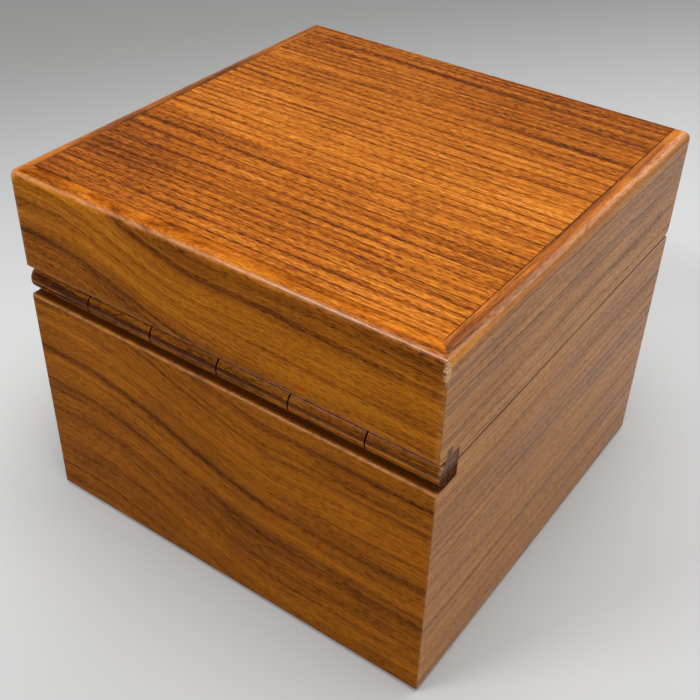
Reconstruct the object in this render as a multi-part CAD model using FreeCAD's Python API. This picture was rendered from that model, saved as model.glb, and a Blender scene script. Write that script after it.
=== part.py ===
import FreeCAD, Part
import math
import os

# Square wooden puzzle box, 120 x 120 x 101 mm, with a knuckled wooden hinge along its back edge.
# The lid is a box of its own: its top panel slides forward and uncovers a hidden tray.
# The base has a double front: the outer board slides sideways and uncovers the lock bolt.
# Frame: origin at the centre of the underside, +Z up, front towards -Y, hinge towards +Y.
# Lengths are millimetres. Every (low, high) pair is a range along one axis.

# ---- Driving dimensions ----
WIDTH = 120.0            # along X
DEPTH = 120.0            # along Y
HEIGHT = 101.0           # along Z
PARTING_Z = 70.6         # height of the seam between base and lid
SEAM_GAP = 0.3           # air between base and lid
WALL = 10.0              # side and back boards
LID_FRONT_WALL = 12.0    # the lid's front board also holds the strike plate

TOP_EDGE_LEFT = 2.6      # radii of the lid's outer top edges
TOP_EDGE_BACK = 2.6
TOP_EDGE_FRONT = 1.8
TOP_EDGE_RIGHT = 0.8
BOTTOM_EDGE = 1.5        # radius of the base's outer bottom edges
ARRIS = 0.5              # radius of the upright outer edges
SEAM_EDGE = 0.35         # radius of the lid's edges along the seam
BASE_SEAM_EDGE = 0.9     # the base's edges there are eased more
FINGER_DEPTH = 1.3       # the finger groove across the front seam, into the box
FINGER_RISE_LID = 2.5    # and up the lid
FINGER_RISE_BASE = 1.3   # and down the base
WORN_LENGTH = 6.5        # worn corner at the top of the left back arris: its length
WORN_WIDTH = 1.7         # and its width along each face at the top

# Wooden hinge, let into a rebate across the whole back edge
BARREL_R = 3.3
HEEL_R = 3.65            # the lid's knuckles are this round below, towards the inside
HINGE_INSET = 3.95       # barrel axis, in from the back face
HINGE_DROP = 0.7         # and this far below the seam
REBATE_DEPTH = 8.0       # rebate, in from the back face
REBATE_UP = 4.35         # rebate roof above the axis, in the lid
REBATE_DOWN = 3.9        # rebate floor below the axis, in the base
REBATE_EDGE = 0.8        # radius of the rebate's outer edges
FIRST_JOINT = 20.0       # first gap between knuckles, from the right-hand end
KNUCKLE_PITCH = 20.4
KNUCKLE_COUNT = 6
KNUCKLE_GAP = 0.45
TONGUE_WIDTH = 2.1       # tongue that glues each leaf into its board
TONGUE_DEPTH = 2.2
BASE_TONGUE_STOP = 4.0   # the base leaf's tongue stops this far short of the left side
PIN_R = 0.5
PIN_CLEARANCE = 0.05
PIN_RECESS = 0.5         # each end of the pin lies this far inside the barrel

# Sliding top panel
LIP_LEFT = 4.1           # width of the boards' edges that frame the panel
LIP_RIGHT = 3.0
LIP_BACK = 4.85
PANEL_THICK = 6.0
PANEL_TONGUE = 1.5       # how far the panel's tongues stand out
TONGUE_Z = (1.6, 3.8)    # tongue, up from the panel's underside
SLIDE_GAP = 0.2
TOP_TRAVEL = 34.0
STOP_DOWEL_R = 1.5
STOP_DOWEL_BELOW = 5.0
STOP_DOWEL_INSIDE = 3.0

# Hidden tray's floor, and the bottom board
TRAY_FLOOR_Z = (80.0, 83.0)
TRAY_FLOOR_GROOVE = 2.0
BOTTOM_Z = (4.0, 9.0)
BOTTOM_GROOVE = 2.5

# Sliding front board on its two dovetail rails
FRONT_BOARD = 5.0
FRONT_CORE = 9.8
FRONT_TRAVEL = 30.0
FRONT_BOARD_LIFT = 0.5   # clearance under the sliding board
RAIL_NARROW = 6.0
RAIL_WIDE = 8.6
RAIL_DEPTH = 3.6
RAIL_HEIGHTS = {"lower": 14.0, "upper": 50.0}
RAIL_END_GAP = 0.3

# Lock bolt and strike plate
BOLT_TRAVEL = 8.0
BOLT_SECTION = 5.8
BOLT_X = (-49.0, -6.0)
BOLT_Z = 65.3
BOLT_CLEARANCE = 0.3
BOLT_NOTCH = (-47.0, -41.0)
BOLT_NOTCH_DEPTH = 2.2
NOSE_R = 1.3
NOSE_OUT = 7.5
NOSE_IN = 10.0
TAB_X = (3.0, 5.0)
TAB_BOTTOM_Z = 61.6
TAB_HOLE_R = 1.5
TAB_SLOT_GAP = 0.5
PLATE_LENGTH = 30.0
PLATE_DEPTH = 8.0
PLATE_THICK = 1.5
SCREW_SPACING = 22.0
SCREW_HEAD_R = 2.1
SCREW_HEAD_HIGH = 1.0
SCREW_SHANK_R = 1.1
SCREW_LENGTH = 9.0
SCREW_POINT = 1.6
SCREW_SLOT = (0.5, 0.5)  # width and depth

# Steel pin that drops into the sliding front board
TILT_X = 20.0
TILT_Z = 32.0
TILT_R = 1.5
TILT_LENGTH = 7.8
TILT_TRAVEL = 3.0
TILT_CLEARANCE = 0.08
TILT_HOLE_R = 1.75
TILT_HOLE_DEPTH = TILT_TRAVEL + 0.3
TILT_NOSE_EASE = 0.4

# ---- Places worked out from them ----
LEFT, RIGHT = -WIDTH / 2, WIDTH / 2
FRONT, BACK = -DEPTH / 2, DEPTH / 2
INNER_LEFT, INNER_RIGHT, INNER_BACK = LEFT + WALL, RIGHT - WALL, BACK - WALL
BASE_TOP = PARTING_Z - SEAM_GAP / 2
LID_BOTTOM = PARTING_Z + SEAM_GAP / 2
AXIS_Y, AXIS_Z = BACK - HINGE_INSET, PARTING_Z - HINGE_DROP
REBATE_Y = BACK - REBATE_DEPTH
ROOF_Z, FLOOR_Z = AXIS_Z + REBATE_UP, AXIS_Z - REBATE_DOWN
LID_INNER_FRONT = FRONT + LID_FRONT_WALL
BOARD_BACK = FRONT + FRONT_BOARD
CORE_FRONT = BOARD_BACK + SLIDE_GAP
CORE_BACK = CORE_FRONT + FRONT_CORE
PANEL_Z = HEIGHT - PANEL_THICK
RECESS_Z = PANEL_Z - SLIDE_GAP
FAR = 200.0              # longer than the box, for cuts that run right through


# ---- Basic shapes ----
def block(x, y, z):
    """Box between three (low, high) pairs."""
    size = [high - low for low, high in (x, y, z)]
    return Part.makeBox(*size, FreeCAD.Vector(x[0], y[0], z[0]))


def plan_prism(points, z):
    """Upright prism over a polygon of (x, y) points."""
    corners = [FreeCAD.Vector(px, py, z[0]) for px, py in points]
    face = Part.Face(Part.makePolygon(corners + corners[:1]))
    return face.extrude(FreeCAD.Vector(0, 0, z[1] - z[0]))


def rod(radius, start, end):
    """Cylinder between two points."""
    a, b = FreeCAD.Vector(*start), FreeCAD.Vector(*end)
    return Part.makeCylinder(radius, a.distanceToPoint(b), a, b - a)


def place_on(axis, offset, a, b):
    """Point of a section across an axis: (y, z) across X, (x, z) across Y, (x, y) across Z."""
    spots = {"X": (offset, a, b), "Y": (a, offset, b), "Z": (a, b, offset)}
    return FreeCAD.Vector(*spots[axis])


def eased_prism(axis, corners):
    """Long prism along an axis; each corner of its section is (a, b, radius), and 0 stays sharp."""
    points = [place_on(axis, -FAR, a, b) for a, b, _ in corners]
    arcs = []
    for i, (_, _, radius) in enumerate(corners):
        here = points[i]
        back = (points[i - 1] - here).normalize()
        ahead = (points[(i + 1) % len(points)] - here).normalize()
        half = back.getAngle(ahead) / 2
        reach = radius / math.tan(half)
        middle = (back + ahead).normalize() * (radius / math.sin(half) - radius)
        arcs.append((here + back * reach, here + middle, here + ahead * reach, radius))
    edges = []
    for i, (start, middle, end, radius) in enumerate(arcs):
        edges.append(Part.makeLine(arcs[i - 1][2], start))
        if radius:
            edges.append(Part.Arc(start, middle, end).toShape())
    face = Part.Face(Part.Wire(Part.__sortEdges__(edges)))
    return face.extrude(place_on(axis, 2 * FAR, 0, 0))


def cut_all(solid, tools):
    for tool in tools:
        solid = solid.cut(tool)
    return solid


def join_all(solids):
    joined = solids[0]
    for solid in solids[1:]:
        joined = joined.fuse(solid)
    return joined.removeSplitter()


def export(name, solid):
    if not solid.isValid():
        raise ValueError(name + " is not a valid solid")
    box = solid.BoundBox
    print("%-20s %d solid(s) %9.1f mm3  x %.1f..%.1f  y %.1f..%.1f  z %.1f..%.1f" % (
        name, len(solid.Solids), solid.Volume,
        box.XMin, box.XMax, box.YMin, box.YMax, box.ZMin, box.ZMax))
    solid.exportStep("parts/" + name + ".step")


# ---- Outer forms: every board is trimmed to the outside of its half of the box ----
def outline_from_above():
    corners = [(LEFT, FRONT), (RIGHT, FRONT), (RIGHT, BACK), (LEFT, BACK)]
    return eased_prism("Z", [(x, y, ARRIS) for x, y in corners])


def worn_corner():
    """Sliver rubbed off the arris where the left and back faces meet the top."""
    tip = FreeCAD.Vector(LEFT, BACK, HEIGHT - WORN_LENGTH)
    on_back = FreeCAD.Vector(LEFT + WORN_WIDTH, BACK, HEIGHT)
    on_left = FreeCAD.Vector(LEFT, BACK - WORN_WIDTH, HEIGHT)
    far_back = tip + (on_back - tip) * 2
    far_left = tip + (on_left - tip) * 2
    facet = Part.Face(Part.makePolygon([tip, far_back, far_left, tip]))
    return facet.extrude(FreeCAD.Vector(-WORN_LENGTH, WORN_LENGTH, 0))


def lid_form():
    across = eased_prism("Y", [
        (LEFT, LID_BOTTOM, SEAM_EDGE), (RIGHT, LID_BOTTOM, SEAM_EDGE),
        (RIGHT, HEIGHT, TOP_EDGE_RIGHT), (LEFT, HEIGHT, TOP_EDGE_LEFT)])
    along = eased_prism("X", [
        (FRONT + FINGER_DEPTH, LID_BOTTOM, SEAM_EDGE), (REBATE_Y, LID_BOTTOM, SEAM_EDGE),
        (REBATE_Y, ROOF_Z, 0), (BACK, ROOF_Z, REBATE_EDGE),
        (BACK, HEIGHT, TOP_EDGE_BACK), (FRONT, HEIGHT, TOP_EDGE_FRONT),
        (FRONT, LID_BOTTOM + FINGER_RISE_LID, ARRIS)])
    return across.common(along).common(outline_from_above()).cut(worn_corner())


def base_form():
    across = eased_prism("Y", [
        (LEFT, 0, BOTTOM_EDGE), (RIGHT, 0, BOTTOM_EDGE),
        (RIGHT, BASE_TOP, BASE_SEAM_EDGE), (LEFT, BASE_TOP, BASE_SEAM_EDGE)])
    along = eased_prism("X", [
        (FRONT, 0, BOTTOM_EDGE), (BACK, 0, BOTTOM_EDGE),
        (BACK, FLOOR_Z, REBATE_EDGE), (REBATE_Y, FLOOR_Z, 0),
        (REBATE_Y, BASE_TOP, SEAM_EDGE), (FRONT + FINGER_DEPTH, BASE_TOP, SEAM_EDGE),
        (FRONT, BASE_TOP - FINGER_RISE_BASE, ARRIS)])
    return across.common(along).common(outline_from_above())


# ---- Hinge ----
def knuckle_ranges():
    """(low, high) along X of each knuckle, from the right-hand end; the base has the first."""
    joints = [RIGHT - FIRST_JOINT - i * KNUCKLE_PITCH for i in range(KNUCKLE_COUNT - 1)]
    highs = [RIGHT] + [x - KNUCKLE_GAP / 2 for x in joints]
    lows = [x + KNUCKLE_GAP / 2 for x in joints] + [LEFT]
    return list(zip(lows, highs))


def hinge_leaf(knuckles, seat_z, heel_r, pin_hole_r, tongue_x):
    """A tongue along the edge, and knuckles whose square heel fills the rebate's corner."""
    outward = 1 if seat_z > AXIS_Z else -1
    tongue_y = (AXIS_Y - TONGUE_WIDTH / 2, AXIS_Y + TONGUE_WIDTH / 2)
    tongue_z = sorted([seat_z, seat_z + outward * TONGUE_DEPTH])
    pieces = [block(tongue_x, tongue_y, tongue_z)]
    for x in knuckles:
        barrel = rod(BARREL_R, (x[0], AXIS_Y, AXIS_Z), (x[1], AXIS_Y, AXIS_Z))
        heel = block(x, (AXIS_Y - heel_r, AXIS_Y), sorted([AXIS_Z, seat_z]))
        inner_side = block(x, (AXIS_Y - heel_r, AXIS_Y), (AXIS_Z - heel_r, AXIS_Z + BARREL_R))
        round_heel = rod(heel_r, (x[0], AXIS_Y, AXIS_Z), (x[1], AXIS_Y, AXIS_Z)).common(inner_side)
        neck = block(x, tongue_y, sorted([AXIS_Z, seat_z + outward * TONGUE_DEPTH / 2]))
        pieces += [barrel, heel, round_heel, neck]
    bore = rod(pin_hole_r, (-FAR, AXIS_Y, AXIS_Z), (FAR, AXIS_Y, AXIS_Z))
    return join_all(pieces).cut(bore)


def hinge_pin():
    ends = (LEFT + PIN_RECESS, RIGHT - PIN_RECESS)
    return rod(PIN_R, (ends[0], AXIS_Y, AXIS_Z), (ends[1], AXIS_Y, AXIS_Z))


# ---- Lid ----
def panel_form(gap):
    """The sliding panel with its tongues; with a gap it is the recess that the panel runs in."""
    front = FRONT - gap
    back = BACK - LIP_BACK - SLIDE_GAP + gap
    slab_x = (LEFT + LIP_LEFT + SLIDE_GAP - gap, RIGHT - LIP_RIGHT - SLIDE_GAP + gap)
    slab = block(slab_x, (front, back), (PANEL_Z - gap, HEIGHT + gap))
    tongue_x = (slab_x[0] - PANEL_TONGUE, slab_x[1] + PANEL_TONGUE)
    tongue_z = (PANEL_Z + TONGUE_Z[0] - gap, PANEL_Z + TONGUE_Z[1] + gap)
    tongue = block(tongue_x, (front, back + PANEL_TONGUE), tongue_z)
    return slab.fuse(tongue)


def stop_dowel():
    """Dowel under the top panel that meets the lid's front board at the end of the travel."""
    y = LID_INNER_FRONT + STOP_DOWEL_R + TOP_TRAVEL + SLIDE_GAP
    return rod(STOP_DOWEL_R, (0, y, PANEL_Z - STOP_DOWEL_BELOW), (0, y, PANEL_Z + STOP_DOWEL_INSIDE))


def tray_floor():
    groove = TRAY_FLOOR_GROOVE
    return block((INNER_LEFT - groove, INNER_RIGHT + groove),
                 (LID_INNER_FRONT - groove, INNER_BACK + groove), TRAY_FLOOR_Z)


def screw_form(x, y):
    """Countersunk wood screw that points up, its head flush with the lid's underside."""
    up = FreeCAD.Vector(0, 0, 1)
    head_top = LID_BOTTOM + SCREW_HEAD_HIGH
    point_z = LID_BOTTOM + SCREW_LENGTH - SCREW_POINT
    head = Part.makeCone(SCREW_HEAD_R, SCREW_SHANK_R, SCREW_HEAD_HIGH, FreeCAD.Vector(x, y, LID_BOTTOM), up)
    shank = rod(SCREW_SHANK_R, (x, y, head_top), (x, y, point_z))
    point = Part.makeCone(SCREW_SHANK_R, 0.2, SCREW_POINT, FreeCAD.Vector(x, y, point_z), up)
    return join_all([head, shank, point])


def screw_places():
    middle = sum(TAB_X) / 2
    y = LID_INNER_FRONT - PLATE_DEPTH / 2 - SEAM_GAP
    return [(middle - SCREW_SPACING / 2, y), (middle + SCREW_SPACING / 2, y)]


def strike_screws():
    slotted = []
    for x, y in screw_places():
        slot = block((x - SCREW_HEAD_R, x + SCREW_HEAD_R), (y - SCREW_SLOT[0] / 2, y + SCREW_SLOT[0] / 2),
                     (LID_BOTTOM, LID_BOTTOM + SCREW_SLOT[1]))
        slotted.append(screw_form(x, y).cut(slot))
    return Part.makeCompound(slotted)


def strike_flange():
    middle = sum(TAB_X) / 2
    y_back = LID_INNER_FRONT - SEAM_GAP
    return block((middle - PLATE_LENGTH / 2, middle + PLATE_LENGTH / 2), (y_back - PLATE_DEPTH, y_back),
                 (LID_BOTTOM, LID_BOTTOM + PLATE_THICK))


def strike_plate():
    """Brass plate let into the lid's underside, with a tab that hangs down for the bolt."""
    bolt_y = (CORE_FRONT + BOLT_CLEARANCE, CORE_FRONT + BOLT_CLEARANCE + BOLT_SECTION)
    tab = block(TAB_X, (bolt_y[0] + BOLT_CLEARANCE, bolt_y[1]), (TAB_BOTTOM_Z, LID_BOTTOM + PLATE_THICK))
    middle_y = sum(bolt_y) / 2
    hole = rod(TAB_HOLE_R, (TAB_X[0] - 1, middle_y, BOLT_Z), (TAB_X[1] + 1, middle_y, BOLT_Z))
    plate = join_all([strike_flange(), tab]).cut(hole)
    return cut_all(plate, [screw_form(x, y) for x, y in screw_places()])


def lid_side_board(outer, inner, form, cuts):
    """Side board with mitred ends; above the front board it runs on to the front face."""
    mitred = [(outer, BACK), (inner, INNER_BACK), (inner, LID_INNER_FRONT), (outer, FRONT)]
    square = [(outer, BACK), (inner, INNER_BACK), (inner, FRONT), (outer, FRONT)]
    board = plan_prism(mitred, (LID_BOTTOM, RECESS_Z)).fuse(plan_prism(square, (RECESS_Z, HEIGHT)))
    return cut_all(board.common(form), cuts).removeSplitter()


def build_lid():
    form = lid_form()
    leaf = hinge_leaf(knuckle_ranges()[1::2], ROOF_Z, HEEL_R, PIN_R + PIN_CLEARANCE, (LEFT, RIGHT))
    floor = tray_floor()
    recess = panel_form(SLIDE_GAP)
    cuts = [recess, floor, leaf]
    front_plan = [(LEFT, FRONT), (RIGHT, FRONT),
                  (INNER_RIGHT, LID_INNER_FRONT), (INNER_LEFT, LID_INNER_FRONT)]
    back_plan = [(LEFT, BACK), (RIGHT, BACK), (INNER_RIGHT, INNER_BACK), (INNER_LEFT, INNER_BACK)]
    front = plan_prism(front_plan, (LID_BOTTOM, RECESS_Z)).common(form)
    fittings = [strike_flange()] + [screw_form(x, y) for x, y in screw_places()]
    back = plan_prism(back_plan, (LID_BOTTOM, HEIGHT)).common(form)
    export("lid_front_wall", cut_all(front, [floor] + fittings))
    export("lid_back_wall", cut_all(back, cuts))
    export("lid_left_wall", lid_side_board(LEFT, INNER_LEFT, form, cuts))
    export("lid_right_wall", lid_side_board(RIGHT, INNER_RIGHT, form, cuts))
    export("lid_tray_floor", floor)
    export("lid_hinge_leaf", leaf)
    export("strike_plate", strike_plate())
    export("strike_screws", strike_screws())
    dowel = stop_dowel()
    export("lid_top_panel", panel_form(0).common(form).cut(dowel))
    export("panel_stop_dowel", dowel)


# ---- Base ----
def rail_form(height, x, gap):
    """Dovetail rail on the back of the sliding board; with a gap it is the groove in the core."""
    narrow, wide = RAIL_NARROW / 2 + gap, RAIL_WIDE / 2 + gap
    y_near, y_far = BOARD_BACK, BOARD_BACK + RAIL_DEPTH + gap
    section = [(y_near, height - narrow), (y_far, height - wide),
               (y_far, height + wide), (y_near, height + narrow)]
    corners = [FreeCAD.Vector(x[0], y, z) for y, z in section]
    face = Part.Face(Part.makePolygon(corners + corners[:1]))
    return face.extrude(FreeCAD.Vector(x[1] - x[0], 0, 0))


def bottom_board():
    groove = BOTTOM_GROOVE
    return block((INNER_LEFT - groove, INNER_RIGHT + groove),
                 (CORE_BACK - groove, INNER_BACK + groove), BOTTOM_Z)


def tilt_pin():
    """Steel pin with an eased nose, wholly inside the core when the board is free to slide."""
    nose_y = CORE_FRONT + SLIDE_GAP
    pin = rod(TILT_R, (TILT_X, nose_y, TILT_Z), (TILT_X, nose_y + TILT_LENGTH, TILT_Z))
    nose_edges = [e for e in pin.Edges if abs(e.BoundBox.YMax - nose_y) < 0.001]
    return pin.makeChamfer(TILT_NOSE_EASE, nose_edges)


def front_core():
    """Fixed inner front board, cut for the rails, the bolt, the strike tab and the tilt pin."""
    span = (INNER_LEFT, INNER_RIGHT)
    core = block(span, (CORE_FRONT, CORE_BACK), (0, BASE_TOP)).common(base_form())
    grooves = [rail_form(z, span, SLIDE_GAP) for z in RAIL_HEIGHTS.values()]
    half = BOLT_SECTION / 2 + BOLT_CLEARANCE
    channel_end = BOLT_X[1] + NOSE_OUT + BOLT_TRAVEL + BOLT_CLEARANCE
    channel_back = CORE_FRONT + 2 * half
    channel = block((INNER_LEFT, channel_end), (CORE_FRONT, channel_back), (BOLT_Z - half, BOLT_Z + half))
    tab_slot = block((TAB_X[0] - TAB_SLOT_GAP, TAB_X[1] + TAB_SLOT_GAP),
                     (CORE_FRONT, channel_back + TAB_SLOT_GAP), (TAB_BOTTOM_Z - TAB_SLOT_GAP, BASE_TOP))
    bore_end = CORE_FRONT + SLIDE_GAP + TILT_LENGTH + SLIDE_GAP
    bore = rod(TILT_R + TILT_CLEARANCE, (TILT_X, CORE_FRONT, TILT_Z), (TILT_X, bore_end, TILT_Z))
    return cut_all(core, grooves + [channel, tab_slot, bore, bottom_board()])


def sliding_board():
    """Outer front board, mitred to the left side; the blind holes hold it shut or open."""
    plan = [(LEFT + SLIDE_GAP, FRONT), (RIGHT, FRONT),
            (RIGHT, BOARD_BACK), (LEFT + FRONT_BOARD + SLIDE_GAP, BOARD_BACK)]
    board = plan_prism(plan, (FRONT_BOARD_LIFT, BASE_TOP)).common(base_form())
    holes = [rod(TILT_HOLE_R, (x, BOARD_BACK, TILT_Z), (x, BOARD_BACK - TILT_HOLE_DEPTH, TILT_Z))
             for x in (TILT_X, TILT_X - FRONT_TRAVEL)]
    return cut_all(board, holes)


def lock_bolt():
    """Square wooden bolt with a thumb notch, and the steel nose pressed into its end."""
    y = (CORE_FRONT + BOLT_CLEARANCE, CORE_FRONT + BOLT_CLEARANCE + BOLT_SECTION)
    bar = block(BOLT_X, y, (BOLT_Z - BOLT_SECTION / 2, BOLT_Z + BOLT_SECTION / 2))
    notch = block(BOLT_NOTCH, (y[0], y[0] + BOLT_NOTCH_DEPTH), (0, HEIGHT))
    middle_y = sum(y) / 2
    nose = rod(NOSE_R, (BOLT_X[1] - NOSE_IN, middle_y, BOLT_Z), (BOLT_X[1] + NOSE_OUT, middle_y, BOLT_Z))
    return bar.cut(notch).cut(nose), nose


def build_base():
    form = base_form()
    tongue_x = (LEFT + BASE_TONGUE_STOP, RIGHT)
    leaf = hinge_leaf(knuckle_ranges()[0::2], FLOOR_Z, BARREL_R, PIN_R, tongue_x)
    bottom = bottom_board()
    height = (0, BASE_TOP)
    left_plan = [(LEFT, BACK), (INNER_LEFT, INNER_BACK), (INNER_LEFT, CORE_FRONT),
                 (LEFT + FRONT_BOARD + SLIDE_GAP, CORE_FRONT), (LEFT, FRONT)]
    right_plan = [(RIGHT, BACK), (INNER_RIGHT, INNER_BACK), (INNER_RIGHT, CORE_FRONT), (RIGHT, CORE_FRONT)]
    back_plan = [(LEFT, BACK), (RIGHT, BACK), (INNER_RIGHT, INNER_BACK), (INNER_LEFT, INNER_BACK)]
    for name, plan in (("left", left_plan), ("right", right_plan), ("back", back_plan)):
        board = plan_prism(plan, height).common(form)
        export("base_" + name + "_wall", cut_all(board, [bottom, leaf]))
    export("base_front_core", front_core())
    export("base_bottom_panel", bottom)
    export("base_hinge_leaf", leaf)
    export("hinge_pin", hinge_pin())
    export("front_slide_panel", sliding_board())
    rail_x = (INNER_LEFT + RAIL_END_GAP, INNER_RIGHT - RAIL_END_GAP - FRONT_TRAVEL)
    for name, z in RAIL_HEIGHTS.items():
        export("slide_rail_" + name, rail_form(z, rail_x, 0))
    bar, nose = lock_bolt()
    export("lock_bolt", bar)
    export("lock_bolt_nose", nose)
    export("tilt_pin", tilt_pin())


os.makedirs("parts", exist_ok=True)
build_lid()
build_base()
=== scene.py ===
import bpy
from mathutils import Matrix, Vector


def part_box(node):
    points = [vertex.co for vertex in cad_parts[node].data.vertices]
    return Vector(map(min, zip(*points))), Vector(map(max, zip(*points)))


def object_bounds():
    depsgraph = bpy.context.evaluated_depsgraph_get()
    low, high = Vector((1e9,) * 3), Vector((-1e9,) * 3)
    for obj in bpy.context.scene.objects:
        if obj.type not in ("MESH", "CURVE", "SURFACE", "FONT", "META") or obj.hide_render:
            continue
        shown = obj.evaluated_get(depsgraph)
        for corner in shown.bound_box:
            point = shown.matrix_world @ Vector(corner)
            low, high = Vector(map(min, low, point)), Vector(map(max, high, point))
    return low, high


# Looks of the wooden puzzle box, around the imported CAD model. The hinge is at the back (+Y), and the box
# stands on z = 0. Objects are in metres, and the patterns of their materials are in millimetres.

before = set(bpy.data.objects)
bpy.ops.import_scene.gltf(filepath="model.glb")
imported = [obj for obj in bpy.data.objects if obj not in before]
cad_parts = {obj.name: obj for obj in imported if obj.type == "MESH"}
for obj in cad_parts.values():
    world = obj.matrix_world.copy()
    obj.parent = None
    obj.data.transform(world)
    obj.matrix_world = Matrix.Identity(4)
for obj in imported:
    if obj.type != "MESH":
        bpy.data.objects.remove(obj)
cad_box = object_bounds()
scene = bpy.context.scene
scene.view_settings.view_transform = "Standard"

MM = 0.001
X, Y, Z = 0, 1, 2

# ---- Places on the box, in millimetres ----
BOX_LOW = Vector(cad_box[0]) / MM
BOX_HIGH = Vector(cad_box[1]) / MM
LEFT = BOX_LOW.x
BACK = BOX_HIGH.y
BASE_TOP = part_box("base_left_wall")[1].z / MM
LID_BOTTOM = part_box("lid_left_wall")[0].z / MM
SEAM_Z = 0.5 * (BASE_TOP + LID_BOTTOM)
SEAM_REACH = 0.5             # half height of the painted shade band in the seam
REBATE_Y = BACK - 7.9        # the rebate that holds the hinge lies behind this
REBATE_FLOOR = SEAM_Z - 4.6
REBATE_ROOF = SEAM_Z + 3.65
REBATE_SLACK = 0.03          # takes in the floor and the roof themselves
REBATE_MOUTH = (BACK - 1.4, BACK - 0.2)  # the painted shade on the rebate's faces fades out between these
KNOCKED_AT = (LEFT, BACK, BOX_HIGH.z - 2.0)

# Height ranges that end at the level arrises of the boards.
LID = (LID_BOTTOM, BOX_HIGH.z)
LID_BACK = (REBATE_ROOF, BOX_HIGH.z)
BASE = (BOX_LOW.z, BASE_TOP)
BASE_BACK = (BOX_LOW.z, REBATE_FLOOR)

# ---- Camera, in metres ----
CAMERA_AT = Vector((-0.1327, 0.1996, 0.2222))
CAMERA_LOOK = Vector((0.447, -0.657, -0.607))
CAMERA_UP = Vector((0.367, -0.484, 0.794))
LENS_MM = 55.5


def tone_steps(*colors):
    """Five colours of a wood, from its darkest lines to its palest fibres."""
    return tuple(zip((0.0, 0.22, 0.46, 0.70, 1.0), colors))


# ---- Colours ----
# The darkest grain lines; the same colour paints the shade in the seam and inside the rebate.
VEIN_AND_SHADE = (0.050, 0.014, 0.003)
# Pale colour of rubbed wood, also painted as a highlight on the arrises.
WORN_AND_HIGHLIGHT = (0.78, 0.43, 0.22)
HONEY_TONES = tone_steps(VEIN_AND_SHADE, (0.200, 0.054, 0.004), (0.400, 0.116, 0.005), (0.590, 0.204, 0.010),
                         (0.800, 0.340, 0.050))
TOP_TONES = tone_steps((0.060, 0.014, 0.003), (0.220, 0.049, 0.004), (0.410, 0.109, 0.008),
                       (0.600, 0.192, 0.018), (0.820, 0.320, 0.070))
BACK_TONES = tone_steps((0.050, 0.014, 0.002), (0.190, 0.052, 0.004), (0.365, 0.112, 0.005),
                        (0.540, 0.202, 0.011), (0.720, 0.335, 0.050))
SIDE_TONES = tone_steps((0.110, 0.034, 0.004), (0.240, 0.070, 0.004), (0.390, 0.126, 0.010),
                        (0.580, 0.220, 0.016), (0.780, 0.350, 0.060))
HINGE_TONES = ((0.0, (0.03, 0.008, 0.003)), (0.25, (0.13, 0.036, 0.004)), (0.5, (0.32, 0.096, 0.008)),
               (1.0, (0.56, 0.20, 0.02)))
INNER_TONES = ((0.0, (0.16, 0.060, 0.018)), (0.3, (0.42, 0.20, 0.06)), (0.6, (0.66, 0.37, 0.13)),
               (1.0, (0.80, 0.52, 0.23)))
BARE_TONES = ((0.35, (0.50, 0.28, 0.12)), (0.65, (0.82, 0.56, 0.34)))

# ---- Varnish ----
TOP_FINISH = {"Specular_IOR_Level": 0.15, "Specular_Tint": (1.0, 0.75, 0.5, 1), "Coat_Roughness": 0.18}
BACK_FINISH = {"Specular_IOR_Level": 0.01, "Coat_Roughness": 0.22}
SIDE_FINISH = {"Specular_IOR_Level": 0.60, "Specular_Tint": (1.0, 0.88, 0.55, 1)}
INNER_FINISH = {"Specular_IOR_Level": 0.25}


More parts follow.
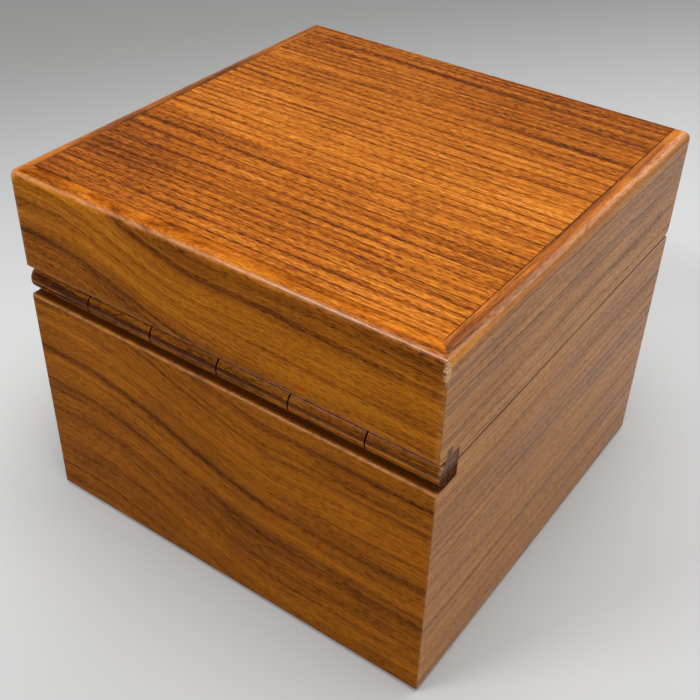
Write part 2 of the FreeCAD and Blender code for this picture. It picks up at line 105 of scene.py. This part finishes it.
# ---- Node helper ----
class Nodes:
    """A new material. Each method adds a node and returns its output socket."""

    def __init__(self, name):
        self.material = bpy.data.materials.new(name)
        self.material.use_nodes = True
        self.tree = self.material.node_tree
        self.shader = self.tree.nodes["Principled BSDF"]

    def put(self, socket, value):
        if isinstance(value, bpy.types.NodeSocket):
            self.tree.links.new(value, socket)
        else:
            socket.default_value = value

    def add(self, kind, inputs, **settings):
        """Adds any node and returns the node itself."""
        node = self.tree.nodes.new(kind)
        for key, value in settings.items():
            setattr(node, key, value)
        for key, value in inputs.items():
            self.put(node.inputs[key], value)
        return node

    def math(self, operation, *values, clamp=False):
        inputs = dict(enumerate(values))
        return self.add("ShaderNodeMath", inputs, operation=operation, use_clamp=clamp).outputs[0]

    def weigh(self, *terms):
        """Sum of value * weight over (value, weight) pairs."""
        total = 0.0
        for value, weight in terms:
            total = self.math("MULTIPLY_ADD", value, weight, total)
        return total

    def vector(self, x, y, z):
        return self.add("ShaderNodeCombineXYZ", {"X": x, "Y": y, "Z": z}).outputs[0]

    def split(self, vector):
        return self.add("ShaderNodeSeparateXYZ", {"Vector": vector}).outputs

    def place(self, vector, scale, offset=(0, 0, 0)):
        inputs = {"Vector": vector, "Scale": scale, "Location": offset}
        return self.add("ShaderNodeMapping", inputs).outputs[0]

    def object_mm(self):
        texture_place = self.add("ShaderNodeTexCoord", {})
        return self.place(texture_place.outputs["Object"], (1 / MM, 1 / MM, 1 / MM))

    def noise(self, vector, detail=2.0, roughness=0.5):
        inputs = {"Vector": vector, "Scale": 1.0, "Detail": detail, "Roughness": roughness}
        return self.add("ShaderNodeTexNoise", inputs).outputs["Fac"]

    def ramp(self, factor, stops):
        node = self.add("ShaderNodeValToRGB", {"Fac": factor})
        elements = node.color_ramp.elements
        while len(elements) < len(stops):
            elements.new(1.0)
        for element, (position, value) in zip(elements, stops):
            element.position = position
            element.color = (value, value, value, 1) if isinstance(value, float) else (*value, 1)
        return node.outputs["Color"]

    def smooth(self, value, low, high, to_low=0.0, to_high=1.0):
        """Eases from to_low, where the value is low, to to_high, where it is high."""
        inputs = {"Value": value, "From Min": low, "From Max": high, "To Min": to_low, "To Max": to_high}
        node = self.add("ShaderNodeMapRange", inputs, interpolation_type="SMOOTHSTEP")
        return node.outputs["Result"]

    def mix(self, factor, first, second):
        node = self.add("ShaderNodeMix", {0: factor, 6: first, 7: second}, data_type="RGBA")
        return node.outputs[2]

    def finish(self, color, roughness, height=None, depth_mm=0.0, **constants):
        """Feeds the shader and returns the material."""
        self.put(self.shader.inputs["Base Color"], color)
        self.put(self.shader.inputs["Roughness"], roughness)
        for key, value in constants.items():
            self.shader.inputs[key.replace("_", " ")].default_value = value
        if height is not None:
            bump = self.add("ShaderNodeBump", {"Height": height, "Distance": depth_mm * MM})
            self.put(self.shader.inputs["Normal"], bump.outputs["Normal"])
        return self.material


# ---- Wood ----
# Strength of the painted shade in the seam between lid and base.
SEAM_SHADE = 0.75
FIBRE_DEPTH = 0.35
RELIEF_MM = 0.06
THIN_VARNISH = 0.04          # away from the arrises
CLOSE_LINES = 0.37           # gap of the close growth lines, as a share of the wide ones
LINE_PROFILE = ((0.0, 0.0), (0.25, 0.06), (0.44, 0.55), (0.50, 1.0), (0.57, 0.30), (0.72, 0.0))
PLAIN_PROFILE = ((-80.0, 0.48), (-20.0, 0.52), (10.0, 0.45), (50.0, 0.52), (110.0, 0.47))


class Wood(Nodes):
    """The wood of one board. A depth is how far a layer moves the tone, and 0.5 is a plain tone."""

    bend = (0.0, -50.0, 50.0, 0.0)        # rise between two places along the grain, and tilt
    drift = 2.5                           # slow waver of the lines
    shiver = 0.9                          # quick waver of the lines
    profile = PLAIN_PROFILE               # (level, tone) stops across the board
    line_gap = 3.0                        # between two growth lines
    line_depth = 0.3
    streak_depth = 1.0
    cloud_depth = 0.25
    pore_share = 0.12                     # more gives more pores
    pore_depth = 0.28
    end_depth = 0.22                      # of the darker end grain
    corner_depth = 0.0                    # of the darker corners
    lift = 0.0                            # moves the tone of the whole board; on the back boards also painted shade
    tones = HONEY_TONES
    top_tone = None                       # plain tone of the faces that look up, if it differs
    wear = 0.22                           # how far the arrises turn pale: rubbed wood and painted highlight
    # Width of the band along the arrises that turns pale (rubbed wood and painted highlight) and takes
    # extra varnish.
    wear_width = 0.9
    polish = 0.2                          # extra varnish on the arrises
    recess_shade = 0.85                   # strength of the painted shade on the faces inside the rebate
    dullness = 0.30                       # roughness that every place has

    def __init__(self, name, axes, heights, seed, **look):
        """The axes run along the grain, across the face and into the board.

        The heights are those of its level arrises.
        """
        super().__init__(name)
        for key, value in look.items():
            setattr(self, key, value)
        self.heights = heights
        self.seed = seed
        self.position = self.object_mm()
        self.parts = self.split(self.position)
        self.normal = self.split(self.add("ShaderNodeTexCoord", {}).outputs["Normal"])
        self.upward = self.smooth(self.normal[Z], 0.5, 0.9)
        self.ends = self.smooth(self.math("ABSOLUTE", self.normal[axes[0]]), 0.75, 0.98)
        self.lay_grain(axes)
        self.streaks = self.grain_noise((0.014, 0.50, 0.50), 4.0, 0.62)
        self.fibres = self.grain_noise((0.09, 2.6, 2.6), 2.0, 0.6)
        self.clouds = self.grain_noise((0.045, 0.09, 0.09), 2.0)
        wide_lines = self.growth_lines(self.line_gap)
        close_lines = self.growth_lines(CLOSE_LINES * self.line_gap)
        self.lines = self.weigh((wide_lines, 0.8), (close_lines, 0.4))
        self.pores = self.pore_dashes()
        self.edges = self.arrises()
        self.worn_and_highlit = self.worn_and_highlit_spots()
        self.bare = self.knocked_corner()

    def lay_grain(self, axes):
        """Sets the place along the grain, the level across it, and both with the depth as a vector."""
        self.along, across, into = (self.parts[axis] for axis in axes)
        rise, low, high, tilt = self.bend
        level = self.math("SUBTRACT", across, self.smooth(self.along, low, high, 0.0, rise))
        slope = self.math("MULTIPLY", self.math("SUBTRACT", self.along, LEFT), tilt)
        level = self.math("SUBTRACT", level, slope)
        raw = self.vector(self.along, across, into)
        drift = self.noise(self.place(raw, (0.025, 0.06, 0.06), self.seed), 2.0)
        shiver = self.noise(self.place(raw, (0.16, 0.55, 0.55), self.seed), 2.0)
        flow = self.weigh((level, 1.0), (drift, self.drift), (shiver, self.shiver))
        self.flow = self.math("SUBTRACT", flow, 0.5 * (self.drift + self.shiver))
        self.grain = self.vector(self.along, self.flow, into)

    def grain_noise(self, scale, detail, roughness=0.5):
        """Noise that follows the grain."""
        return self.noise(self.place(self.grain, scale, self.seed), detail, roughness)

    def growth_lines(self, gap):
        """Thin dark lines, each with its own strength and breaks."""
        wander = self.grain_noise((0.002, 0.11, 0.11), 1.0)
        phase = self.weigh((self.flow, 1.0 / gap), (wander, 3.0))
        line = self.ramp(self.math("FRACT", phase), LINE_PROFILE)
        row = self.math("MULTIPLY", self.math("FLOOR", phase), 3.7)
        stretch = self.vector(self.math("MULTIPLY", self.along, 0.02), row, self.seed[0])
        strength = self.smooth(self.noise(stretch, 3.0, 0.6), 0.24, 0.58)
        return self.math("MULTIPLY", line, strength)

    def pore_dashes(self):
        """Short fine dashes, the open pores of the wood, crowded along the growth lines."""
        dashes = self.grain_noise((0.50, 6.5, 6.5), 1.0, 0.4)
        crowd = self.grain_noise((0.03, 0.5, 0.5), 2.0)
        limit = self.weigh((crowd, -0.26), (self.lines, -0.12))
        limit = self.math("ADD", limit, 0.82 - self.pore_share)
        return self.smooth(self.math("SUBTRACT", dashes, limit), 0.0, 0.06)

    def arrises(self):
        """1 on the arrises, less on those well below the top, and 0 a band width in from them."""
        x, y, z = self.parts
        low_z, high_z = self.heights
        from_x = self.math("SUBTRACT", BOX_HIGH.x, self.math("ABSOLUTE", x))
        from_y = self.math("SUBTRACT", BACK, self.math("ABSOLUTE", y))
        from_top = self.math("SUBTRACT", high_z, z)
        from_z = self.math("MINIMUM", self.math("SUBTRACT", z, low_z), from_top)
        nearest = self.math("MINIMUM", from_x, from_y)
        farthest = self.math("MAXIMUM", from_x, from_y)
        second = self.math("MAXIMUM", nearest, self.math("MINIMUM", farthest, from_z))
        arris = self.smooth(second, 0.25 * self.wear_width, self.wear_width, 1.0, 0.0)
        return self.math("MULTIPLY", arris, self.smooth(from_top, 0.0, 4.0, 1.0, 0.2))

    def worn_and_highlit_spots(self):
        """The parts of the arrises that hands have rubbed, painted pale both as rubbed wood and as painted
        highlight.
        """
        rub = self.noise(self.place(self.position, (0.3, 0.3, 0.6), self.seed), 4.0, 0.65)
        return self.math("MULTIPLY", self.edges, self.smooth(rub, 0.20, 0.60))

    def knocked_corner(self):
        """1 on the bare wood of the knocked back left corner of the lid."""
        offset = self.add("ShaderNodeVectorMath", {0: self.position, 1: KNOCKED_AT}, operation="SUBTRACT")
        flattened = self.place(offset.outputs[0], (1.0, 1.0, 0.27))
        reach = self.add("ShaderNodeVectorMath", {0: flattened}, operation="LENGTH").outputs["Value"]
        rough = self.noise(self.place(self.position, (1.4, 1.4, 1.4), self.seed), 3.0, 0.6)
        return self.smooth(self.weigh((reach, 1.0), (rough, 2.2)), 1.7, 2.4, 1.0, 0.0)

    def painted_seam_and_rebate_shade(self):
        """How far painted shade darkens the seam and the faces inside the rebate."""
        middle = 0.5 * (REBATE_ROOF + REBATE_FLOOR)
        half_height = 0.5 * (REBATE_ROOF - REBATE_FLOOR) + REBATE_SLACK
        level = self.math("COMPARE", self.parts[Z], middle, half_height)
        behind = self.math("GREATER_THAN", self.parts[Y], REBATE_Y)
        inside = self.math("MULTIPLY", behind, self.smooth(self.parts[Y], *REBATE_MOUTH, 1.0, 0.0))
        recess = self.math("MULTIPLY", level, inside)
        seam = self.math("COMPARE", self.parts[Z], SEAM_Z, SEAM_REACH)
        recess_shade = self.math("MULTIPLY", recess, self.recess_shade)
        return self.math("MAXIMUM", recess_shade, self.math("MULTIPLY", seam, SEAM_SHADE))

    def bands(self):
        """Tone across the board, from its profile."""
        low, high = self.profile[0][0], self.profile[-1][0]
        factor = self.math("DIVIDE", self.math("SUBTRACT", self.flow, low), high - low)
        return self.ramp(factor, [((level - low) / (high - low), tone) for level, tone in self.profile])

    def top_bands(self, bands):
        """The same with a plain tone and stronger streaks on the faces that look up."""
        bands = self.mix(self.upward, bands, (self.top_tone, self.top_tone, self.top_tone, 1))
        streaks = self.math("MULTIPLY", self.upward, self.math("SUBTRACT", self.streaks, 0.52))
        return self.weigh((bands, 1.0), (streaks, 0.7))

    def dark_corners(self):
        """1 where the place along the grain and the level are both high, and 0.55 where both are low."""
        far = self.smooth(self.along, 5.0, 62.0)
        near = self.smooth(self.along, 25.0, -40.0)
        both_high = self.math("MULTIPLY", far, self.smooth(self.flow, -20.0, 45.0))
        both_low = self.math("MULTIPLY", near, self.smooth(self.flow, -12.0, -50.0))
        return self.weigh((both_high, 1.0), (both_low, 0.55))

    def tone(self):
        """All layers together, from 0 for the darkest wood to 1 for the palest."""
        bands = self.top_bands(self.bands()) if self.top_tone else self.bands()
        tone = self.weigh((bands, 1.0), (self.streaks, self.streak_depth), (self.fibres, FIBRE_DEPTH),
                          (self.clouds, self.cloud_depth), (self.lines, -self.line_depth),
                          (self.pores, -self.pore_depth), (self.ends, -self.end_depth),
                          (self.dark_corners(), -self.corner_depth))
        mean = 0.5 * (self.streak_depth + FIBRE_DEPTH + self.cloud_depth)
        return self.math("ADD", tone, self.lift - mean, clamp=True)

    def color(self):
        tone = self.tone()
        color = self.ramp(tone, self.tones)
        if self.top_tone:
            color = self.mix(self.upward, color, self.ramp(tone, TOP_TONES))
        # Pale arrises: rubbed wood, and painted highlight.
        color = self.mix(self.math("MULTIPLY", self.worn_and_highlit, self.wear), color, (*WORN_AND_HIGHLIGHT, 1))
        # Painted shade in the seam and inside the hinge's rebate.
        color = self.mix(self.painted_seam_and_rebate_shade(), color, (*VEIN_AND_SHADE, 1))
        return self.mix(self.bare, color, self.ramp(self.fibres, BARE_TONES))

    def roughness(self):
        roughness = self.weigh((self.pores, 0.25), (self.lines, 0.10), (self.streaks, 0.10),
                               (self.ends, 0.15), (self.worn_and_highlit, -0.08), (self.bare, 0.4))
        return self.math("ADD", roughness, self.dullness)

    def relief(self):
        return self.weigh((self.pores, -1.0), (self.lines, -0.35), (self.fibres, 0.25), (self.clouds, 0.8),
                          (self.bare, -1.5))


def make_wood(name, axes, heights, seed, finish, **look):
    wood = Wood(name, axes, heights, seed, **look)
    varnish = wood.math("MULTIPLY_ADD", wood.edges, wood.polish, THIN_VARNISH)
    wood.put(wood.shader.inputs["Coat Weight"], varnish)
    return wood.finish(wood.color(), wood.roughness(), wood.relief(), RELIEF_MM, **finish)


# ---- Boards ----
LID_SIDE_PROFILE = ((66.0, 0.50), (84.0, 0.50), (86.2, 0.44), (87.0, 0.28), (88.6, 0.44), (92.8, 0.46),
                    (93.8, 0.26), (94.8, 0.46), (104.0, 0.46))
BASE_SIDE_PROFILE = ((-6.0, 0.48), (19.5, 0.48), (21.0, 0.34), (22.5, 0.48), (35.0, 0.50), (43.5, 0.47),
                     (45.0, 0.20), (46.2, 0.42), (52.0, 0.48), (60.5, 0.46), (61.5, 0.34), (62.5, 0.48),
                     (76.0, 0.52))


def top_panel_wood():
    profile = ((-62.0, 0.42), (-50.0, 0.44), (-30.0, 0.50), (-14.0, 0.52), (0.0, 0.60), (9.0, 0.58),
               (14.0, 0.49), (25.0, 0.49), (37.0, 0.45), (44.0, 0.49), (52.0, 0.50), (62.0, 0.46))
    return make_wood("top_panel_wood", (X, Y, Z), LID, (3.1, 7.7, 1.3), TOP_FINISH, profile=profile,
                     drift=1.4, shiver=0.35, line_gap=2.9, line_depth=0.43, streak_depth=0.95,
                     cloud_depth=0.12, pore_share=0.16, pore_depth=0.36, corner_depth=0.20, lift=0.10,
                     tones=TOP_TONES)


def lid_back_wood():
    profile = ((60.0, 0.42), (69.0, 0.38), (71.0, 0.34), (72.0, 0.22), (73.0, 0.38), (76.0, 0.50),
               (84.0, 0.55), (89.0, 0.54), (90.2, 0.46), (91.0, 0.24), (91.7, 0.40), (92.6, 0.46),
               (93.1, 0.32), (93.6, 0.42), (96.5, 0.38), (97.3, 0.30), (98.2, 0.40), (104.0, 0.44))
    # The darker tone given here is painted shade; the wide pale band on the top arris is painted
    # highlight.
    return make_wood("lid_back_wood", (X, Z, Y), LID_BACK, (11.3, 2.9, 5.1), BACK_FINISH, profile=profile,
                     bend=(9.0, 0.0, 50.0, 0.04), line_gap=4.6, line_depth=0.14, streak_depth=0.7,
                     pore_depth=0.22, lift=-0.035, wear=0.45, wear_width=1.6, polish=0.45, top_tone=0.53,
                     tones=BACK_TONES)


def base_back_wood():
    profile = ((-20.0, 0.42), (2.0, 0.44), (8.0, 0.48), (14.0, 0.42), (15.0, 0.34), (16.0, 0.44),
               (21.0, 0.44), (23.6, 0.30), (26.0, 0.42), (29.0, 0.52), (34.0, 0.46), (35.2, 0.24),
               (36.2, 0.38), (38.0, 0.46), (45.0, 0.52), (52.0, 0.49), (53.0, 0.36), (54.0, 0.48),
               (60.0, 0.44), (61.0, 0.34), (62.0, 0.46), (80.0, 0.46))
    # The darker tone given here is painted shade, for the light that falls off low on this face; the pale
    # top arris is painted highlight.
    return make_wood("base_back_wood", (X, Z, Y), BASE_BACK, (5.7, 9.1, 2.2), BACK_FINISH, profile=profile,
                     bend=(15.0, -20.0, 45.0, 0.0), line_gap=5.2, line_depth=0.06, streak_depth=0.48,
                     pore_depth=0.20, lift=-0.095, wear=0.30, wear_width=0.7, polish=0.1, tones=BACK_TONES)


def side_wood(name, heights, seed, **look):
    return make_wood(name, (Y, Z, X), heights, seed, SIDE_FINISH, bend=(0.0, -50.0, 50.0, 0.01),
                     line_gap=4.2, streak_depth=0.95, pore_depth=0.14, wear_width=1.5, top_tone=0.46,
                     tones=SIDE_TONES, **look)


def lid_side_wood(name, seed, profile):
    # The pale top arris is painted highlight as well as rubbed wood.
    return side_wood(name, LID, seed, profile=profile, line_depth=0.30, lift=0.06, wear=0.45)


def base_side_wood(name, seed, profile):
    # The pale line under the seam is painted highlight as well as rubbed wood.
    return side_wood(name, BASE, seed, profile=profile, line_depth=0.10, lift=0.02, wear=0.15)


def front_wood(name, heights, seed, **look):
    return make_wood(name, (X, Z, Y), heights, seed, BACK_FINISH, line_gap=4.0, line_depth=0.12,
                     streak_depth=0.8, **look)


def hinge_wood():
    return make_wood("hinge_wood", (X, Y, Z), BASE, (8.0, 3.0, 5.0), BACK_FINISH, line_gap=2.0,
                     end_depth=0.34, recess_shade=0.1, tones=HINGE_TONES)


def inner_wood():
    return make_wood("inner_wood", (X, Y, Z), BASE, (4.0, 8.0, 2.0), INNER_FINISH, line_gap=4.0,
                     line_depth=0.2, streak_depth=0.5, dullness=0.45, tones=INNER_TONES)


def rail_wood():
    return make_wood("rail_wood", (X, Z, Y), BASE, (1.0, 2.0, 9.0), INNER_FINISH, line_gap=2.5,
                     dullness=0.40, lift=-0.15)


# ---- Metal ----
def make_brass():
    nodes = Nodes("brass")
    position = nodes.object_mm()
    brushing = nodes.noise(nodes.place(position, (0.3, 6.0, 6.0)), 2.0)
    tarnish = nodes.noise(nodes.place(position, (0.25, 0.25, 0.25)), 3.0, 0.6)
    color = nodes.ramp(tarnish, [(0.3, (0.52, 0.34, 0.12)), (0.7, (0.86, 0.62, 0.27))])
    roughness = nodes.weigh((brushing, 0.25), (tarnish, 0.15))
    return nodes.finish(color, roughness, brushing, 0.01, Metallic=1.0)


def make_steel():
    nodes = Nodes("steel")
    position = nodes.object_mm()
    turning = nodes.noise(nodes.place(position, (5.0, 0.4, 0.4)), 2.0)
    stain = nodes.noise(nodes.place(position, (0.5, 0.5, 0.5)), 3.0, 0.6)
    color = nodes.ramp(stain, [(0.3, (0.30, 0.29, 0.28)), (0.7, (0.58, 0.57, 0.55))])
    roughness = nodes.weigh((turning, 0.3), (stain, 0.15))
    return nodes.finish(color, roughness, turning, 0.01, Metallic=1.0)


# ---- Dressing the CAD nodes ----
def dress(material, *names):
    for name in names:
        slots = bpy.data.objects[name].data.materials
        slots.clear()
        slots.append(material)


def dress_lid():
    dress(top_panel_wood(), "lid_top_panel")
    dress(lid_back_wood(), "lid_back_wall")
    dress(lid_side_wood("lid_left_wood", (2.0, 4.4, 8.1), LID_SIDE_PROFILE), "lid_left_wall")
    dress(lid_side_wood("lid_right_wood", (12.0, 6.4, 4.1), PLAIN_PROFILE), "lid_right_wall")
    dress(front_wood("lid_front_wood", LID, (7.0, 2.4, 1.1)), "lid_front_wall")


def dress_base():
    dress(base_back_wood(), "base_back_wall")
    dress(base_side_wood("base_left_wood", (6.0, 1.4, 3.1), BASE_SIDE_PROFILE), "base_left_wall")
    dress(base_side_wood("base_right_wood", (16.0, 9.4, 7.1), PLAIN_PROFILE), "base_right_wall")
    slide_board = front_wood("slide_board_wood", BASE, (9.0, 5.4, 6.1), bend=(8.0, -40.0, 30.0, 0.03))
    dress(slide_board, "front_slide_panel")


def dress_works():
    dress(hinge_wood(), "lid_hinge_leaf", "base_hinge_leaf")
    dress(inner_wood(), "lid_tray_floor", "panel_stop_dowel", "base_front_core", "base_bottom_panel")
    dress(rail_wood(), "slide_rail_lower", "slide_rail_upper", "lock_bolt")
    dress(make_brass(), "strike_plate", "strike_screws")
    dress(make_steel(), "hinge_pin", "lock_bolt_nose", "tilt_pin")


# ---- Camera, floor and light ----
def add_camera():
    data = bpy.data.cameras.new("camera")
    data.lens = LENS_MM
    data.clip_start = 0.01
    back = -CAMERA_LOOK.normalized()
    right = CAMERA_UP.cross(back).normalized()
    turn = Matrix((right, back.cross(right), back)).transposed().to_4x4()
    camera = bpy.data.objects.new("camera", data)
    camera.matrix_world = Matrix.Translation(CAMERA_AT) @ turn
    scene.collection.objects.link(camera)
    scene.camera = camera


FLOOR_SIZE = 8.0
FLOOR_DROP = 0.0002          # keeps the floor from touching the box's underside
# Centre of the painted shadow ring on the floor, by the box's back left corner.
FLOOR_SHADOW_CENTRE = (-50.0, 60.0, 0.0)


def floor_paper_with_painted_shade():
    """Grey paper with painted light and shade: a painted falloff darkest beyond the right front corner, a
    painted shadow by the back left one, and painted light far off.
    """
    nodes = Nodes("floor_paper_with_painted_shade")
    position = nodes.object_mm()
    parts = nodes.split(position)
    speckle = nodes.noise(nodes.place(position, (0.02, 0.02, 0.02)), 3.0, 0.6)
    # Painted falloff of the light, darker beyond the right front corner.
    beyond = nodes.smooth(nodes.weigh((parts[X], 1.0), (parts[Y], -0.6)), 100.0, 430.0)
    away = nodes.add("ShaderNodeVectorMath", {0: position, 1: FLOOR_SHADOW_CENTRE}, operation="DISTANCE")
    away = away.outputs["Value"]
    # Painted shadow near the back left corner, lighter further out.
    around = nodes.smooth(nodes.weigh((speckle, 12.0), (away, 1.0)), 66.0, 156.0)
    tone = nodes.mix(around, (0.502, 0.508, 0.506, 1), (0.612, 0.618, 0.616, 1))
    tone = nodes.mix(beyond, tone, (0.360, 0.365, 0.354, 1))
    # Painted light far off, pale where the lamps fall short.
    tone = nodes.mix(nodes.smooth(away, 550.0, 1500.0), tone, (0.80, 0.81, 0.80, 1))
    return nodes.finish(tone, 0.8, Specular_IOR_Level=0.1)


def add_floor():
    bpy.ops.mesh.primitive_plane_add(size=FLOOR_SIZE, location=(0, 0, BOX_LOW.z * MM - FLOOR_DROP))
    floor = bpy.context.object
    floor.name = "floor"
    floor.data.materials.append(floor_paper_with_painted_shade())


def add_softbox(name, at, towards, size, power):
    data = bpy.data.lights.new(name, "AREA")
    data.shape = "RECTANGLE"
    data.size, data.size_y = size
    data.energy = power
    light = bpy.data.objects.new(name, data)
    light.location = at
    light.visible_camera = False
    light.rotation_euler = (Vector(towards) - Vector(at)).to_track_quat("-Z", "Y").to_euler()
    scene.collection.objects.link(light)


def add_room_light():
    world = bpy.data.worlds.new("room")
    world.use_nodes = True
    background = world.node_tree.nodes["Background"]
    background.inputs["Color"].default_value = (0.95, 0.98, 1.0, 1)
    background.inputs["Strength"].default_value = 0.16
    scene.world = world


def add_lights():
    add_room_light()
    add_softbox("overhead_softbox", (-0.06, 0.03, 0.62), (-0.02, 0.0, 0.0), (0.40, 0.34), 3.1)
    add_softbox("left_fill", (-0.90, 0.62, 0.75), (-0.05, 0.05, 0.05), (0.80, 0.60), 3.9)
    add_softbox("right_fill", (-0.35, -0.75, 0.55), (-0.06, -0.1, 0.0), (0.50, 0.40), 1.9)
    add_softbox("window", (0.40, 0.68, 0.76), (-0.03, 0.06, 0.1), (0.32, 0.06), 4.2)


add_camera()
add_floor()
add_lights()
dress_lid()
dress_base()
dress_works()
